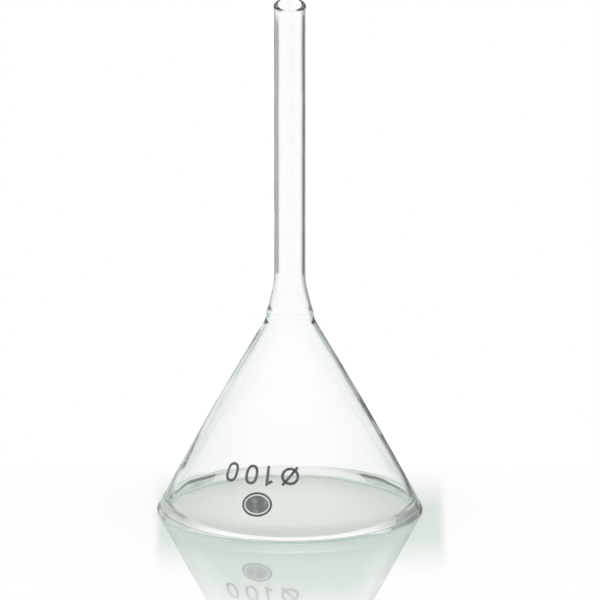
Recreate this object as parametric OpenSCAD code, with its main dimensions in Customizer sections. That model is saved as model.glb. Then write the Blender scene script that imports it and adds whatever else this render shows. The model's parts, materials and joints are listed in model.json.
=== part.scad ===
// Conical filter funnel with a long stem, one piece of clear glass.
// It stands on its mouth: the origin is the centre of the mouth, on the rim's flat, and +Z runs up the stem.
// The tip is cut on a slant that faces -Y.

/* [Mouth] */
// Outside diameter of the mouth, over the rim
mouth_d = 100; // [70:1:150]
// Width of the thickened rim, on the face that the funnel stands on
rim_w = 4.2; // [3:0.1:5]
// Height over which the wall thickens towards the rim, inside
rim_h = 4.8; // [3:0.1:7]
// Height of the rim's widest part
rim_side = 0.4; // [0.3:0.05:1.2]
// Rounding of the rim's edges
rim_round = 0.3; // [0.15:0.05:0.8]
// Radius of the bend from the rim into the cone, inside
rim_bend = 4; // [1:0.5:8]

/* [Cone] */
// Full angle of the cone
cone_angle = 58; // [50:0.5:66]
// How far the cone's side bows out at its middle
cone_bow = 0.6; // [0.1:0.1:1.5]
// Radius of that bow
bow_bend = 900; // [400:50:1500]
// Wall of the cone, square to its face
cone_wall = 1.6; // [1:0.1:2.4]

/* [Neck] */
// Outside diameter where the neck meets the cone
joint_d = 18.6; // [15:0.1:22]
// Flare of the neck, measured from the axis
neck_angle = 13.5; // [8:0.5:18]
// Wall of the neck, square to its face
neck_wall = 1.3; // [0.9:0.05:1.45]
// Radius of the bend from the stem into the neck
neck_bend = 30; // [8:1:36]
// Radius of the bend from the neck into the cone, outside
joint_bend = 5; // [2:0.5:14]
// Radius of the bend from the neck into the cone, inside
throat_bend = 8; // [2:0.5:14]
// How far up the neck the ring starts where it was fused to the cone
seal_rise = 1.5; // [1:0.1:3]
// Height of that ring
seal_h = 0.3; // [0.1:0.05:0.6]
// Width of that ring, up the neck
seal_w = 4; // [1.5:0.1:5]
// Rounding of that ring
seal_round = 2; // [0.5:0.1:4]

/* [Stem] */
// Outside diameter of the stem
stem_d = 11.7; // [9:0.1:14]
// Wall of the stem
stem_wall = 1.6; // [1:0.05:2.2]
// Length of the neck and stem together, from the cone to the middle of the tip
stem_l = 121.3; // [60:0.1:180]

/* [Tip] */
// How far the fire-polished tip swells past the stem, on each side
tip_swell = 0.2; // [0.05:0.05:0.5]
// Length over which the tip swells
tip_l = 3; // [2:0.1:6]
// Radius of the bends in and out of the swelling
tip_bend = 6; // [2:0.5:12]
// Slant of the cut across the tip, from square
tip_slant = 14; // [0:1:30]

/* [Hidden] */

// Pieces of the circle in a full turn, and the largest step along a rounded corner
$fn = 180;
corner_step = 7.5;
// Largest share of a side that one corner's rounding takes up
side_share = 0.49;

half_angle = cone_angle / 2;
mouth_r = mouth_d / 2;
joint_r = joint_d / 2;
stem_r = stem_d / 2;
bore_r = stem_r - stem_wall;
tip_r = stem_r + tip_swell;

// The cone's outer face runs from the rim's widest part towards a point at apex_z on the axis
apex_z = rim_side + mouth_r / tan(half_angle);
joint_z = apex_z - joint_r / tan(half_angle);
seal_z = joint_z + seal_rise;
tip_z = joint_z + stem_l;
// The wall runs on past the slanted cut, which takes off the rest
end_z = tip_z + tip_r * tan(tip_slant) + stem_wall;

// Level reach of each slanted wall
cone_reach = cone_wall / cos(half_angle);
neck_reach = neck_wall / cos(neck_angle);

function cone_r(z) = (apex_z - z) * tan(half_angle);

// Middle of the cone's outer face, moved out by the bow
bow_z = (rim_side + joint_z) / 2 + cone_bow * sin(half_angle);
bow_r = (mouth_r + joint_r) / 2 + cone_bow * cos(half_angle);

function neck_r(z) = joint_r - (z - joint_z) * tan(neck_angle);

// Height at which the neck's face, set in by a level amount, has a given radius
function neck_z(r, inset) = joint_z + (joint_r - inset - r) / tan(neck_angle);

// The throat is where the inner faces of the neck and the cone meet
throat_z = joint_z - (cone_reach - neck_reach) / (tan(half_angle) - tan(neck_angle));

function unit(v) = v / norm(v);

// One corner b of a path, between its neighbours a and c, as an arc tangent to both sides
function corner(a, b, c) =
    let (
        at = [b.x, b.y],
        back = [a.x, a.y] - at,
        ahead = [c.x, c.y] - at,
        half = acos(unit(back) * unit(ahead)) / 2,
        radius = min(b.z, side_share * min(norm(back), norm(ahead)) * tan(half)),
        middle = at + unit(unit(back) + unit(ahead)) * radius / sin(half),
        from = at + unit(back) * radius / tan(half) - middle,
        to = at + unit(ahead) * radius / tan(half) - middle,
        start = atan2(from.y, from.x),
        turn = (atan2(to.y, to.x) - start + 540) % 360 - 180,
        steps = max(3, ceil(abs(turn) / corner_step))
    )
    [for (i = [0:steps]) middle + radius * [cos(start + turn * i / steps), sin(start + turn * i / steps)]];

// A closed path of [radius, height, rounding] corners, with each corner rounded
function rounded(path) =
    let (n = len(path))
    [for (i = [0:n - 1]) each corner(path[(i + n - 1) % n], path[i], path[(i + 1) % n])];

// The wall's section: out along the ground, up the outer face to the tip, and down the inner face
wall_section = [
    [mouth_r - rim_w, 0, rim_round],
    [mouth_r, 0, rim_round],
    [mouth_r, rim_side, rim_round],
    [bow_r, bow_z, bow_bend],
    [joint_r, joint_z, joint_bend],
    [neck_r(seal_z), seal_z, seal_round],
    [neck_r(seal_z + seal_w / 2) + seal_h, seal_z + seal_w / 2, seal_round],
    [neck_r(seal_z + seal_w), seal_z + seal_w, seal_round],
    [stem_r, neck_z(stem_r, 0), neck_bend],
    [stem_r, tip_z - tip_l, tip_bend],
    [tip_r, tip_z - tip_l / 2, tip_bend],
    [tip_r, end_z, 0.1],
    [bore_r, end_z, 0.1],
    [bore_r, neck_z(bore_r, neck_reach), neck_bend],
    [cone_r(throat_z) - cone_reach, throat_z, throat_bend],
    [bow_r - cone_reach, bow_z, bow_bend],
    [cone_r(rim_h) - cone_reach, rim_h, rim_bend],
];

module slanted_cut()
    translate([0, 0, tip_z])
        rotate([tip_slant, 0, 0])
            translate([-stem_d, -stem_d, 0])
                cube([2 * stem_d, 2 * stem_d, 2 * stem_d]);

module funnel()
    color("azure", 0.4)
        difference() {
            rotate_extrude()
                polygon(rounded(wall_section));
            slanted_cut();
        }

funnel();
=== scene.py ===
import json
import math

import bmesh
import bpy
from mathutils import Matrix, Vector


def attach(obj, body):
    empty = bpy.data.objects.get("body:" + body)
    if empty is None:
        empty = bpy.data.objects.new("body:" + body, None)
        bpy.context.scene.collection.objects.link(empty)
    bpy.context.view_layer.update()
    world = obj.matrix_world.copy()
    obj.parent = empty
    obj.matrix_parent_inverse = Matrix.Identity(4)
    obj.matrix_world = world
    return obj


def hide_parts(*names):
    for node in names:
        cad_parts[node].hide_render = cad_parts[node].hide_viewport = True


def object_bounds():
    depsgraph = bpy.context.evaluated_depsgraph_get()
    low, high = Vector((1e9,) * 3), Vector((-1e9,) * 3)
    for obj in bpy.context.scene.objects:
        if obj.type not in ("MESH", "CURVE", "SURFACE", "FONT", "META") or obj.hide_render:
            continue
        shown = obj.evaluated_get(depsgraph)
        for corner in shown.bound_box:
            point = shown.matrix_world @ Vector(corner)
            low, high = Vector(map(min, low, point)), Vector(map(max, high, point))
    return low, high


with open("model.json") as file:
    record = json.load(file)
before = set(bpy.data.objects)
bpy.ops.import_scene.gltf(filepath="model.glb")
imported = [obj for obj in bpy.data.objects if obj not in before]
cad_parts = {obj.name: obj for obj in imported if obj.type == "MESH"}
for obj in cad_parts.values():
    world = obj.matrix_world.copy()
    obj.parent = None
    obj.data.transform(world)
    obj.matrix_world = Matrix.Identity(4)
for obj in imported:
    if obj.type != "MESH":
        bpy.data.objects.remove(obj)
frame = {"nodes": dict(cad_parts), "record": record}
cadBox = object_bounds()
print("frame loaded:", sorted(frame["nodes"]))

scene = bpy.context.scene
scene.view_settings.view_transform = "Standard"
mm = 0.001


# a shader socket that can stand in a Python expression
class Wire:
    def __init__(self, tree, socket=None):
        self.tree = tree
        self.socket = socket

    # any node: its type, its own settings, then the values or links of its sockets
    def node(self, kind, settings=None, inputs=None):
        made = self.tree.nodes.new(kind)
        for name, value in (settings or {}).items():
            if name == "stops":
                self.setStops(made.color_ramp, value)
            else:
                setattr(made, name, value)
        for name, value in (inputs or {}).items():
            if isinstance(value, Wire):
                self.tree.links.new(value.socket, made.inputs[name])
            else:
                made.inputs[name].default_value = value
        return made

    def out(self, kind, output, settings=None, inputs=None):
        return self.pick(self.node(kind, settings, inputs), output)

    def pick(self, node, output):
        return Wire(self.tree, node.outputs[output])

    def setStops(self, ramp, stops):
        while len(ramp.elements) < len(stops):
            ramp.elements.new(1)
        for element, (place, colour) in zip(ramp.elements, stops):
            element.position = place
            element.color = self.rgba(colour)

    def math(self, operation, first, second=0.0):
        return self.out("ShaderNodeMath", 0, {"operation": operation}, {0: first, 1: second})

    def __add__(self, other):
        return self.math("ADD", self, other)

    def __radd__(self, other):
        return self.math("ADD", other, self)

    def __sub__(self, other):
        return self.math("SUBTRACT", self, other)

    def __rsub__(self, other):
        return self.math("SUBTRACT", other, self)

    def __mul__(self, other):
        return self.math("MULTIPLY", self, other)

    def __rmul__(self, other):
        return self.math("MULTIPLY", other, self)

    def __gt__(self, other):
        return self.math("GREATER_THAN", self, other)

    def smooth(self, low, high, toLow=0.0, toHigh=1.0):
        return self.out("ShaderNodeMapRange", 0, {"interpolation_type": "SMOOTHSTEP"},
                        {"Value": self, "From Min": low, "From Max": high, "To Min": toLow, "To Max": toHigh})

    def band(self, start, end):
        return self.smooth(*start) * (1 - self.smooth(*end))

    def between(self, low, high):
        return (self > low) * (1 - (self > high))

    def rgba(self, colour):
        return colour if isinstance(colour, Wire) else (*colour, 1)

    def mixColour(self, share, first, second):
        return self.out("ShaderNodeMix", "Result", {"data_type": "RGBA"},
                        {"Factor": share, "A": self.rgba(first), "B": self.rgba(second)})

    def mixShader(self, share, first, second):
        return self.out("ShaderNodeMixShader", 0, None, {0: share, 1: first, 2: second})

    def matte(self, colour):
        return self.out("ShaderNodeBsdfPrincipled", 0, None,
                        {"Base Color": self.rgba(colour), "Roughness": 1.0, "Specular IOR Level": 0.0})

    def glow(self, colour):
        return self.out("ShaderNodeEmission", 0, None, {"Color": self.rgba(colour)})


def newMaterial(name):
    material = bpy.data.materials.new(name)
    material.use_nodes = True
    material.node_tree.nodes.clear()
    return material, Wire(material.node_tree)


def newMesh(name, shape):
    data = bpy.data.meshes.new(name)
    shape.to_mesh(data)
    shape.free()
    return data


def newPiece(name, mesh, material):
    piece = bpy.data.objects.new(name, mesh)
    scene.collection.objects.link(piece)
    mesh.materials.append(material)
    mesh.polygons.foreach_set("use_smooth", [True] * len(mesh.polygons))
    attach(piece, "root")
    return piece


# camera: far off, so the stem's sides stay parallel as in the photograph
cameraSetup = {
    "distance": 5.0, "elevation": 14.4, "fieldWidth": 0.22514, "aim": (0.00381, 0.0, 0.0813),
    "sensor": 36, "clipEnd": 30,
}


def makeCamera(setup):
    data = bpy.data.cameras.new("camera")
    data.sensor_width = setup["sensor"]
    data.lens = setup["sensor"] * setup["distance"] / setup["fieldWidth"]
    data.clip_end = setup["clipEnd"]
    rise = math.radians(setup["elevation"])
    towards = Vector((0, -math.cos(rise), math.sin(rise)))
    camera = bpy.data.objects.new("camera", data)
    camera.location = Vector(setup["aim"]) + setup["distance"] * towards
    camera.rotation_euler = (math.pi / 2 - rise, 0, 0)
    scene.collection.objects.link(camera)
    scene.camera = camera


makeCamera(cameraSetup)
print("camera placed")


# the glass wall's section, with the same sizes as the solid; lengths in metres, angles in degrees
mounts = {mount["name"]: mount["dims"] for mount in frame["record"]["mounts"]}
glassForm = {
    "mouthR": cadBox[1][0], "topZ": cadBox[1][2],
    "stemR": mounts["stem_outside"]["r_mm"] * mm, "boreR": mounts["stem_bore"]["r_mm"] * mm,
    "rimWidth": 4.2 * mm, "rimHeight": 4.8 * mm, "rimSide": 0.4 * mm, "rimRound": 0.3 * mm, "rimBend": 4 * mm,
    "coneAngle": 58.0, "coneBow": 0.6 * mm, "bowBend": 900 * mm, "coneWall": 1.6 * mm,
    "jointR": 9.3 * mm, "neckAngle": 13.5, "neckWall": 1.3 * mm, "neckBend": 30 * mm,
    "jointBend": 5 * mm, "throatBend": 8 * mm,
    "sealRise": 1.5 * mm, "sealHeight": 0.3 * mm, "sealWidth": 4 * mm, "sealRound": 2 * mm,
    "tipSwell": 0.2 * mm, "tipLength": 3 * mm, "tipRound": 0.7 * mm, "tipBend": 6 * mm,
    "tipSlant": 14.0, "slantLength": 4 * mm,
    "turnSteps": 256, "cornerStep": 3.0, "fewestSteps": 3, "longestRun": 4 * mm,
    "sideShare": 0.49,  # the most of a side that one corner's rounding takes up
}


# a cone through two points of the section, (radius, height) each
class Cone:
    def __init__(self, low, high):
        self.slope = (low[0] - high[0]) / (high[1] - low[1])
        self.half = math.atan(self.slope)
        self.apexZ = low[1] + low[0] / self.slope

    def radius(self, z):
        return (self.apexZ - z) * self.slope


def conePoints(form):
    half = math.radians(form["coneAngle"] / 2)
    rim = Vector((form["mouthR"], form["rimSide"]))
    joint = Vector((form["jointR"], rim.y + (rim.x - form["jointR"]) / math.tan(half)))
    bow = (rim + joint) / 2 + form["coneBow"] * Vector((math.cos(half), math.sin(half)))
    return rim, bow, joint


def slantSlope(form):
    return math.tan(math.radians(form["tipSlant"]))


def tipMiddle(form):
    return form["topZ"] - (form["stemR"] + form["tipSwell"]) * slantSlope(form)


def wallSection(form):
    rim, bow, joint = conePoints(form)
    cone = Cone(rim, joint)
    neckSlope = math.tan(math.radians(form["neckAngle"]))
    coneReach = form["coneWall"] / math.cos(cone.half)
    neckReach = form["neckWall"] / math.cos(math.radians(form["neckAngle"]))
    throatZ = joint.y - (coneReach - neckReach) / (cone.slope - neckSlope)
    rimH = form["rimHeight"]
    seals = [form["sealRise"] + form["sealWidth"] * share for share in (0, 0.5, 1)]
    stemR = form["stemR"]
    boreR = form["boreR"]
    tipR = stemR + form["tipSwell"]
    tipZ = tipMiddle(form)

    def neckR(rise):
        return joint.x - rise * neckSlope

    def neckZ(r, inset):
        return joint.y + (joint.x - inset - r) / neckSlope

    return [  # radius, height and rounding of each corner: along the ground, up the outside, down the inside
        (rim.x - form["rimWidth"], 0, form["rimRound"]),
        (rim.x, 0, form["rimRound"]),
        (rim.x, rim.y, form["rimRound"]),
        (bow.x, bow.y, form["bowBend"]),
        (joint.x, joint.y, form["jointBend"]),
        (neckR(seals[0]), joint.y + seals[0], form["sealRound"]),
        (neckR(seals[1]) + form["sealHeight"], joint.y + seals[1], form["sealRound"]),
        (neckR(seals[2]), joint.y + seals[2], form["sealRound"]),
        (stemR, neckZ(stemR, 0), form["neckBend"]),
        (stemR, tipZ - form["tipLength"], form["tipBend"]),
        (tipR, tipZ - form["tipLength"] / 2, form["tipBend"]),
        (tipR, tipZ, form["tipRound"]),
        (boreR, tipZ, form["tipRound"]),
        (boreR, neckZ(boreR, neckReach), form["neckBend"]),
        (cone.radius(throatZ) - coneReach, throatZ, form["throatBend"]),
        (bow.x - coneReach, bow.y, form["bowBend"]),
        (cone.radius(rimH) - coneReach, rimH, form["rimBend"]),
    ]


def roundCorner(before, corner, after, form):
    at = Vector(corner[:2])
    back = Vector(before[:2]) - at
    ahead = Vector(after[:2]) - at
    half = back.angle(ahead) / 2
    radius = min(corner[2], form["sideShare"] * min(back.length, ahead.length) * math.tan(half))
    back.normalize()
    ahead.normalize()
    middle = at + (back + ahead).normalized() * radius / math.sin(half)
    start = at + back * radius / math.tan(half) - middle
    end = at + ahead * radius / math.tan(half) - middle
    first = math.atan2(start.y, start.x)
    turn = (math.atan2(end.y, end.x) - first + 3 * math.pi) % (2 * math.pi) - math.pi
    count = max(form["fewestSteps"], math.ceil(abs(turn) / math.radians(form["cornerStep"])))
    angles = [first + turn * i / count for i in range(count + 1)]
    return [middle + radius * Vector((math.cos(a), math.sin(a))) for a in angles]


def fineSection(form):
    corners = wallSection(form)
    rough = []
    for i, corner in enumerate(corners):
        rough += roundCorner(corners[i - 1], corner, corners[(i + 1) % len(corners)], form)
    points = []
    for here, there in zip(rough, rough[1:] + rough[:1]):  # long straight runs are cut up
        pieces = max(1, math.ceil((there - here).length / form["longestRun"]))
        points += [here.lerp(there, i / pieces) for i in range(pieces)]
    return points


def latheMesh(name, points, form):
    shape = bmesh.new()
    steps = form["turnSteps"]
    turns = [2 * math.pi * i / steps for i in range(steps)]
    rings = []
    for r, z in points:
        rings.append([shape.verts.new((r * math.cos(a), r * math.sin(a), z)) for a in turns])
    for low, high in zip(rings, rings[1:] + rings[:1]):
        for i in range(steps):
            j = (i + 1) % steps
            shape.faces.new((low[i], low[j], high[j], high[i]))
    slope = slantSlope(form)
    tipZ = tipMiddle(form)
    for spot in shape.verts:  # the tip leans down towards the front
        share = min(max((spot.co.z - tipZ) / form["slantLength"] + 1, 0), 1)
        spot.co.z += spot.co.y * slope * share
    bmesh.ops.recalc_face_normals(shape, faces=shape.faces)
    return newMesh(name, shape)


glassFinish = {
    "ior": 1.473, "tint": (0.62, 0.90, 0.76), "density": 4.0,
    "wave": 0.6, "waveScale": 45.0, "waveDetail": 1.0, "waveDepth": 1 * mm,
}


def glassMaterial(finish):
    material, net = newMaterial("clearGlass")
    place = net.out("ShaderNodeTexCoord", "Object")
    wave = net.out("ShaderNodeTexNoise", 0, None,
                   {"Vector": place, "Scale": finish["waveScale"], "Detail": finish["waveDetail"]})
    bump = net.out("ShaderNodeBump", 0, None,
                   {"Strength": finish["wave"], "Distance": finish["waveDepth"], "Height": wave})
    surface = net.out("ShaderNodeBsdfPrincipled", 0, None, {
        "Base Color": (1, 1, 1, 1), "Roughness": 0.0, "IOR": finish["ior"],
        "Transmission Weight": 1.0, "Normal": bump})
    body = net.out("ShaderNodeVolumeAbsorption", 0, None,
                   {"Color": net.rgba(finish["tint"]), "Density": finish["density"]})
    net.node("ShaderNodeOutputMaterial", None, {"Surface": surface, "Volume": body})
    return material


glass = newPiece("funnel_glass", latheMesh("funnel_glass", fineSection(glassForm), glassForm),
                 glassMaterial(glassFinish))
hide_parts("funnel")
print("glass turned:", len(glass.data.polygons), "faces")


# enamel print, a closed film on the cone's outer face; it reads right way up when the funnel hangs stem down
enamelFilm = {"sink": 0.01 * mm, "proud": 0.035 * mm, "strokeSteps": 6, "ovalSteps": 64, "discSteps": 24}
sizeMark = {  # a diameter sign and a plain number
    "height": 23.0 * mm, "turn": -16.4, "number": "100", "stroke": 1.05 * mm, "gap": 3.2 * mm,
    "tall": 7.6 * mm, "zeroWide": 5.0 * mm, "zeroPower": 2.5, "oneWide": 2.4 * mm, "flag": 1.8 * mm,
    "signWide": 6.8 * mm, "slash": 9.0 * mm, "slashAngle": 50,
}
markingSpot = {
    "height": 13.1 * mm, "turn": -16.5, "wide": 11.6 * mm, "tall": 9.4 * mm,
    "line": 0.8 * mm, "gap": 0.5 * mm,
}


# a patch of film around one place on the cone, drawn in lengths across and up it
class ConePatch:
    def __init__(self, height, turn):
        self.cone = Cone(*conePoints(glassForm)[:2])  # the straight face below the bow
        self.middle = (self.cone.apexZ - height) / math.cos(self.cone.half)  # from the apex, down the face
        self.turn = math.radians(turn)
        self.shape = bmesh.new()

    def place(self, across, up, lift):
        reach = self.middle + up
        angle = self.turn - across / (self.middle * math.sin(self.cone.half))
        r = reach * math.sin(self.cone.half) + lift * math.cos(self.cone.half)
        z = self.cone.apexZ - reach * math.cos(self.cone.half) + lift * math.sin(self.cone.half)
        return Vector((r * math.sin(angle), -r * math.cos(angle), z))

    def film(self, rows, closed):
        layers = []
        for lift in (-enamelFilm["sink"], enamelFilm["proud"]):
            layers.append([[self.shape.verts.new(self.place(*spot, lift)) for spot in row] for row in rows])
        low, high = layers
        count = len(rows)
        for i in range(count if closed else count - 1):
            j = (i + 1) % count
            for k in range(len(rows[i]) - 1):
                self.shape.faces.new((high[i][k], high[j][k], high[j][k + 1], high[i][k + 1]))
                self.shape.faces.new((low[i][k], low[i][k + 1], low[j][k + 1], low[j][k]))
            for k in (0, -1):
                self.shape.faces.new((low[i][k], low[j][k], high[j][k], high[i][k]))
        for i in () if closed else (0, -1):
            for k in range(len(rows[i]) - 1):
                self.shape.faces.new((low[i][k], low[i][k + 1], high[i][k + 1], high[i][k]))

    def stroke(self, path, width, closed=False):
        rows = []
        for i, spot in enumerate(path):
            before = path[i - 1] if closed or i > 0 else spot
            after = path[(i + 1) % len(path)] if closed or i < len(path) - 1 else spot
            into = (spot - before).normalized()
            away = (after - spot).normalized()
            along = (into + away).normalized()
            lean = along.dot(away if away.length else into)
            side = Vector((-along.y, along.x)) * width / 2 / lean
            rows.append([spot - side, spot, spot + side])
        self.film(rows, closed)

    def disc(self, wide, tall):
        count = enamelFilm["discSteps"]
        rows = []
        for i in range(1, count):  # level rows from edge to edge
            up = tall / 2 * math.cos(math.pi * i / count)
            edge = wide / 2 * math.sin(math.pi * i / count)
            rows.append([Vector((edge * (2 * k / count - 1), up)) for k in range(count + 1)])
        self.film(rows, False)

    def oval(self, wide, tall, middle=0.0, power=2.0):
        count = enamelFilm["ovalSteps"]
        spots = []
        for i in range(count):
            c = math.cos(2 * math.pi * i / count)
            s = math.sin(2 * math.pi * i / count)
            size = (abs(c) ** power + abs(s) ** power) ** (-1 / power)
            spots.append(Vector((middle + wide / 2 * c * size, tall / 2 * s * size)))
        return spots

    def piece(self, name, material):
        bmesh.ops.recalc_face_normals(self.shape, faces=self.shape.faces)
        newPiece(name, newMesh(name, self.shape), material)


def straightPath(ends):
    steps = enamelFilm["strokeSteps"]
    path = [a.lerp(b, i / steps) for a, b in zip(ends, ends[1:]) for i in range(steps)]
    return path + ends[-1:]


def zeroStrokes(patch, mark, left):
    middle = left + mark["zeroWide"] / 2
    inner = mark["zeroWide"] - mark["stroke"], mark["tall"] - mark["stroke"]
    patch.stroke(patch.oval(*inner, middle, mark["zeroPower"]), mark["stroke"], closed=True)
    return left + mark["zeroWide"]


def oneStrokes(patch, mark, left):
    stem = left + mark["oneWide"] - mark["stroke"] / 2
    top = mark["tall"] / 2
    foot = Vector((stem, -top))
    corner = Vector((stem, top - mark["stroke"] / 2))
    flagEnd = Vector((left, top - mark["flag"]))
    patch.stroke(straightPath([foot, corner, flagEnd]), mark["stroke"])
    return left + mark["oneWide"]


def signStrokes(patch, mark, left):
    middle = Vector((left + mark["signWide"] / 2, 0))
    ring = mark["signWide"] - mark["stroke"]
    patch.stroke(patch.oval(ring, ring, middle.x), mark["stroke"], closed=True)
    lean = math.radians(mark["slashAngle"])
    tip = Vector((math.cos(lean), math.sin(lean))) * mark["slash"] / 2
    patch.stroke(straightPath([middle - tip, middle, middle + tip]), mark["stroke"])
    return left + mark["signWide"]


def makeSizeMark(mark, material):
    strokes = {"0": zeroStrokes, "1": oneStrokes}
    wides = {"0": mark["zeroWide"], "1": mark["oneWide"]}
    wide = mark["signWide"] + sum(mark["gap"] + wides[figure] for figure in mark["number"])
    patch = ConePatch(mark["height"], mark["turn"])
    left = signStrokes(patch, mark, -wide / 2)
    for figure in mark["number"]:
        left = strokes[figure](patch, mark, left + mark["gap"])
    patch.piece("size_mark", material)


def makeSpot(spot, lineMaterial, fillMaterial):
    outline = ConePatch(spot["height"], spot["turn"])
    edge = outline.oval(spot["wide"] - spot["line"], spot["tall"] - spot["line"])
    outline.stroke(edge, spot["line"], closed=True)
    outline.piece("spot_outline", lineMaterial)
    inset = 2 * (spot["line"] + spot["gap"])
    fill = ConePatch(spot["height"], spot["turn"])
    fill.disc(spot["wide"] - inset, spot["tall"] - inset)
    fill.piece("spot_fill", fillMaterial)


enamelGrain = {
    "cloudScale": 420.0, "cloudDetail": 3.0, "thin": (0.45, 0.75),
    "grainScale": 5000.0, "grainDetail": 2.0, "rough": (0.3, 0.7), "bump": 0.25, "bumpDepth": 0.01 * mm,
}
darkEnamel = {
    "name": "darkEnamel", "roughness": (0.35, 0.6),
    "colour": (0.085, 0.092, 0.09), "worn": (0.19, 0.2, 0.195),
}
greyEnamel = {
    "name": "greyEnamel", "roughness": (0.6, 0.8),
    "colour": (0.16, 0.17, 0.165), "worn": (0.3, 0.32, 0.31),
}


def enamelMaterial(finish, grain):
    material, net = newMaterial(finish["name"])
    place = net.out("ShaderNodeTexCoord", "Object")
    cloud = net.out("ShaderNodeTexNoise", 0, None,
                    {"Vector": place, "Scale": grain["cloudScale"], "Detail": grain["cloudDetail"]})
    fine = net.out("ShaderNodeTexNoise", 0, None,
                   {"Vector": place, "Scale": grain["grainScale"], "Detail": grain["grainDetail"]})
    bump = net.out("ShaderNodeBump", 0, None,
                   {"Strength": grain["bump"], "Distance": grain["bumpDepth"], "Height": fine})
    surface = net.out("ShaderNodeBsdfPrincipled", 0, None, {
        "Base Color": net.mixColour(cloud.smooth(*grain["thin"]), finish["colour"], finish["worn"]),
        "Roughness": fine.smooth(*grain["rough"], *finish["roughness"]), "Normal": bump})
    net.node("ShaderNodeOutputMaterial", None, {"Surface": surface})
    return material


enamel = enamelMaterial(darkEnamel, enamelGrain)
makeSizeMark(sizeMark, enamel)
makeSpot(markingSpot, enamel, enamelMaterial(greyEnamel, enamelGrain))
print("print laid on")


# a polished floor a hair below the rim's flat, grey-green around the funnel and white further off
floorFinish = {
    "radius": 0.6, "edgeSteps": 96, "sink": 0.05 * mm, "roughness": 0.03,
    "near": (0.64, 0.745, 0.665), "far": (1.0, 1.0, 1.0),
    "middle": (0.004, -0.02), "sideFade": (0.0515, 0.056), "lengthFade": (0.015, 0.085),
    "mirrorNear": 0.33, "mirrorFar": 0.6, "mirrorInner": 0.02, "mirrorFade": (0.07, 0.125), "mirrorLeft": 0.5,
    # inside the mouth the floor is painted lighter and partly glows, which takes away most of the glass's
    # shadow there; edges in mm, here and below, are measured outwards from the mouth's own edge
    "inner": (0.965, 1.0, 0.96), "innerEdge": (-3 * mm, -2 * mm),
    "innerGlow": (0.80, 0.865, 0.80), "innerGlowShare": (0.62, 0.3), "glowFade": (-30 * mm, -3 * mm),
    # under the rim, front and back, painted light: the floor glows there
    "frontFade": (-0.02, 0.0), "rimGlowShare": 0.6,
    "rimFront": (-5 * mm, -4 * mm), "rimBack": (-3.2 * mm, -2.4 * mm), "rimEnd": (0.0, 0.5 * mm),
    # painted light: a white glow on the floor just inside the front of the rim, which the rim shows as a
    # bright band
    "ringGlow": (1.0, 1.0, 1.0), "ringShare": 0.95, "ringFade": (-0.038, -0.02),
    "ringStart": (-7.2 * mm, -6.3 * mm), "ringEnd": (-4.2 * mm, -3.8 * mm),
    # a line of shadow where the back of the rim stands
    "contact": (0.1, 0.12, 0.105),
    "contactStart": (-4.4 * mm, -3.9 * mm), "contactEnd": (-2.8 * mm, -2 * mm),
    # where the floor fades out, and a painted reflection that the glass still shows of it: grey on the left,
    # near black on the right
    "edgeFade": (0.12, 0.2), "backFade": (0.048, 0.058),
    "hiddenLeft": (0.18, 0.205, 0.185), "hiddenRight": (0.02, 0.025, 0.02),
    "hiddenMiddle": (-0.01, 0.01), "hiddenFade": (0.16, 0.3),
}


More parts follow.
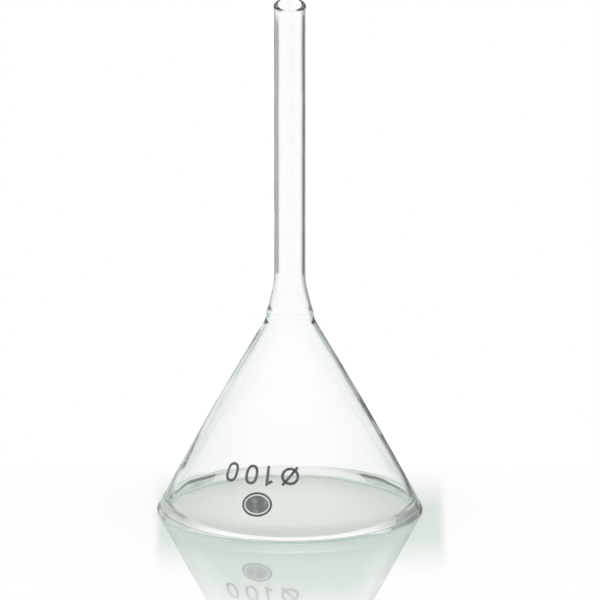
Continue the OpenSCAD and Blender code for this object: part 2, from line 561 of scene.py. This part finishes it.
def floorMaterial(finish, mouthR):
    material, net = newMaterial("floor")
    place = net.out("ShaderNodeTexCoord", "Object")
    axes = net.node("ShaderNodeSeparateXYZ", None, {0: place})
    across = net.pick(axes, 0)
    back = net.pick(axes, 1)
    away = net.out("ShaderNodeVectorMath", "Value", {"operation": "LENGTH"}, {0: place})
    sideways = net.math("ABSOLUTE", across - finish["middle"][0])
    lengthways = net.math("ABSOLUTE", back - finish["middle"][1])
    white = 1 - (1 - sideways.smooth(*finish["sideFade"])) * (1 - lengthways.smooth(*finish["lengthFade"]))
    past = away - mouthR
    inner = 1 - past.smooth(*finish["innerEdge"])
    front = 1 - back.smooth(*finish["frontFade"])

    outside = net.mixColour(white, finish["near"], finish["far"])
    # painted light: the floor inside the mouth is a lighter colour
    plain = net.matte(net.mixColour(inner, outside, finish["inner"]))
    # painted light: the floor under the rim glows, front and back
    underRim = past.smooth(*finish["rimFront"]) * front + past.smooth(*finish["rimBack"]) * (1 - front)
    underRim = underRim * (1 - past.smooth(*finish["rimEnd"]))
    # painted light: the floor inside the mouth partly glows, most towards the middle
    glowing = inner * past.smooth(*finish["glowFade"], *finish["innerGlowShare"])
    glowing = glowing + (finish["rimGlowShare"] - glowing) * underRim
    plain = net.mixShader(glowing, plain, net.glow(finish["innerGlow"]))
    # painted light: a white glowing ring just inside the front of the rim
    ring = past.band(finish["ringStart"], finish["ringEnd"])
    ring = ring * back.smooth(*finish["ringFade"], finish["ringShare"], 0.0)
    plain = net.mixShader(ring, plain, net.glow(finish["ringGlow"]))
    contact = past.band(finish["contactStart"], finish["contactEnd"]) * (1 - front)
    plain = net.mixShader(contact, plain, net.matte(finish["contact"]))

    mirror = finish["mirrorNear"] + (finish["mirrorFar"] - finish["mirrorNear"]) * white
    mirror = mirror * lengthways.smooth(*finish["mirrorFade"], 1.0, finish["mirrorLeft"])
    mirror = mirror + (finish["mirrorInner"] - mirror) * inner
    polish = net.out("ShaderNodeBsdfPrincipled", 0, None,
                     {"Base Color": (1, 1, 1, 1), "Metallic": 1.0, "Roughness": finish["roughness"]})
    surface = net.mixShader(mirror, plain, polish)

    # where it has faded out, only rays that were reflected once inside the glass see it, as a painted
    # reflection, grey on the left and dark on the right
    path = net.node("ShaderNodeLightPath")
    inGlass = net.pick(path, "Glossy Depth").between(0.5, 1.5)  # one reflection
    inGlass = inGlass * net.pick(path, "Transmission Depth").between(0.5, 2.5)  # through one or two faces
    seen = inGlass * (1 - away.smooth(*finish["hiddenFade"]))
    shade = net.mixColour(across.smooth(*finish["hiddenMiddle"]), finish["hiddenLeft"], finish["hiddenRight"])
    beyond = net.mixShader(seen, net.out("ShaderNodeBsdfTransparent", 0), net.matte(shade))
    gone = 1 - (1 - away.smooth(*finish["edgeFade"])) * (1 - back.smooth(*finish["backFade"]))
    net.node("ShaderNodeOutputMaterial", None, {"Surface": net.mixShader(gone, surface, beyond)})
    return material


def makeFloor(finish, mouthR):
    shape = bmesh.new()
    bmesh.ops.create_circle(shape, cap_ends=True, radius=finish["radius"], segments=finish["edgeSteps"])
    data = newMesh("floor", shape)
    data.materials.append(floorMaterial(finish, mouthR))
    floor = bpy.data.objects.new("floor", data)
    floor.location.z = -finish["sink"]
    scene.collection.objects.link(floor)


makeFloor(floorFinish, glassForm["mouthR"])
print("floor laid")


# white studio; rays that were reflected in the glass see its darker walls, painted reflections that depend on
# how often a ray was reflected and how many faces of glass it passed
studio = {
    "light": 1.0, "bounces": 32,
    "evenLight": 0.95,  # how far matt surfaces are lit as if the walls were white
    "level": (-0.22, -0.17), "horizon": (-0.02, 0.02), "wallTop": (0.3, 0.6),
    # painted reflection: rays turned upwards through glass see grey-green instead of white
    "mirrored": (0.44, 0.575, 0.48), "mirroredTop": (0.5, 0.62),  # what rays turned upwards see through glass
    # how strongly the walls show in the first face, straight on and grazing, and in the funnel's far side
    "grazing": (0.3, 0.7), "firstFace": (0.12, 0.85), "farFace": 0.32,
    # each wall's brightness in those painted reflections, by how far to the right a ray goes
    "tint": (0.94, 1.0, 0.955),
    "lowWall": ((-0.87, 0.36), (-0.64, 0.43), (-0.44, 0.44), (-0.15, 0.58), (-0.06, 0.6), (0.03, 0.05),
                (0.35, 0.04), (0.5, 0.16), (0.62, 0.34), (0.75, 0.68), (0.87, 0.75)),
    "levelWall": ((-0.6, 0.9), (-0.4, 0.82), (-0.2, 0.76), (-0.05, 0.76), (0.05, 0.5),
                  (0.15, 0.16), (0.3, 0.16), (0.42, 0.3), (0.55, 0.65)),
    "highWall": ((-0.8, 0.66), (-0.5, 0.6), (-0.3, 0.48), (-0.1, 0.7), (0.1, 0.3),
                 (0.3, 0.1), (0.45, 0.15), (0.6, 0.28), (0.8, 0.4)),
}


def makeStudio(setup):
    world = bpy.data.worlds.new("studio")
    scene.world = world
    world.use_nodes = True
    world.node_tree.nodes.clear()
    net = Wire(world.node_tree)
    path = net.node("ShaderNodeLightPath")
    turns = net.pick(path, "Glossy Depth")  # how often a ray was reflected
    passes = net.pick(path, "Transmission Depth")  # and how many faces of glass it went through
    direct = 1 - setup["evenLight"] * (net.pick(path, "Diffuse Depth") > 0.5)
    axes = net.node("ShaderNodeSeparateXYZ", None, {0: net.out("ShaderNodeTexCoord", "Generated")})
    across, ahead, up = [net.pick(axes, i) for i in range(3)]

    walls = []
    for name in ("lowWall", "levelWall", "highWall"):
        stops = [((side + 1) / 2, tuple(grey * part for part in setup["tint"])) for side, grey in setup[name]]
        walls.append(net.out("ShaderNodeValToRGB", 0, {"stops": stops}, {0: across * 0.5 + 0.5}))
    rising = up.smooth(*setup["horizon"])  # by way of the floor, or back up the glass
    wall = net.mixColour(up.smooth(*setup["level"]), walls[0], walls[1])
    wall = net.mixColour(rising, wall, walls[2])

    # painted reflections: the walls show in the glass only after reflections, less in the first face straight
    # on and in the far side
    inside = (turns > 0.5) * (1 - rising) + (turns > 1.5) * rising
    firstFace = ahead.smooth(*setup["grazing"], *setup["firstFace"])
    inside = inside * (firstFace + (1 - firstFace) * (passes > 0.5))
    inside = inside * (1 - (1 - setup["farFace"]) * (passes > 2.5)) * (1 - up.smooth(*setup["wallTop"]))
    # painted reflection: grey-green for rays turned upwards through glass
    mirrored = (turns > 0.5) * (passes > 1.5) * rising * (1 - up.smooth(*setup["mirroredTop"]))
    colour = net.mixColour(mirrored * direct, (1, 1, 1), setup["mirrored"])
    colour = net.mixColour(inside * direct, colour, wall)
    shade = net.out("ShaderNodeBackground", 0, None, {"Color": colour, "Strength": setup["light"]})
    net.node("ShaderNodeOutputWorld", None, {"Surface": shade})
    scene.cycles.max_bounces = setup["bounces"]
    scene.cycles.transmission_bounces = setup["bounces"]
    scene.cycles.glossy_bounces = setup["bounces"]


makeStudio(studio)
print("studio lit")
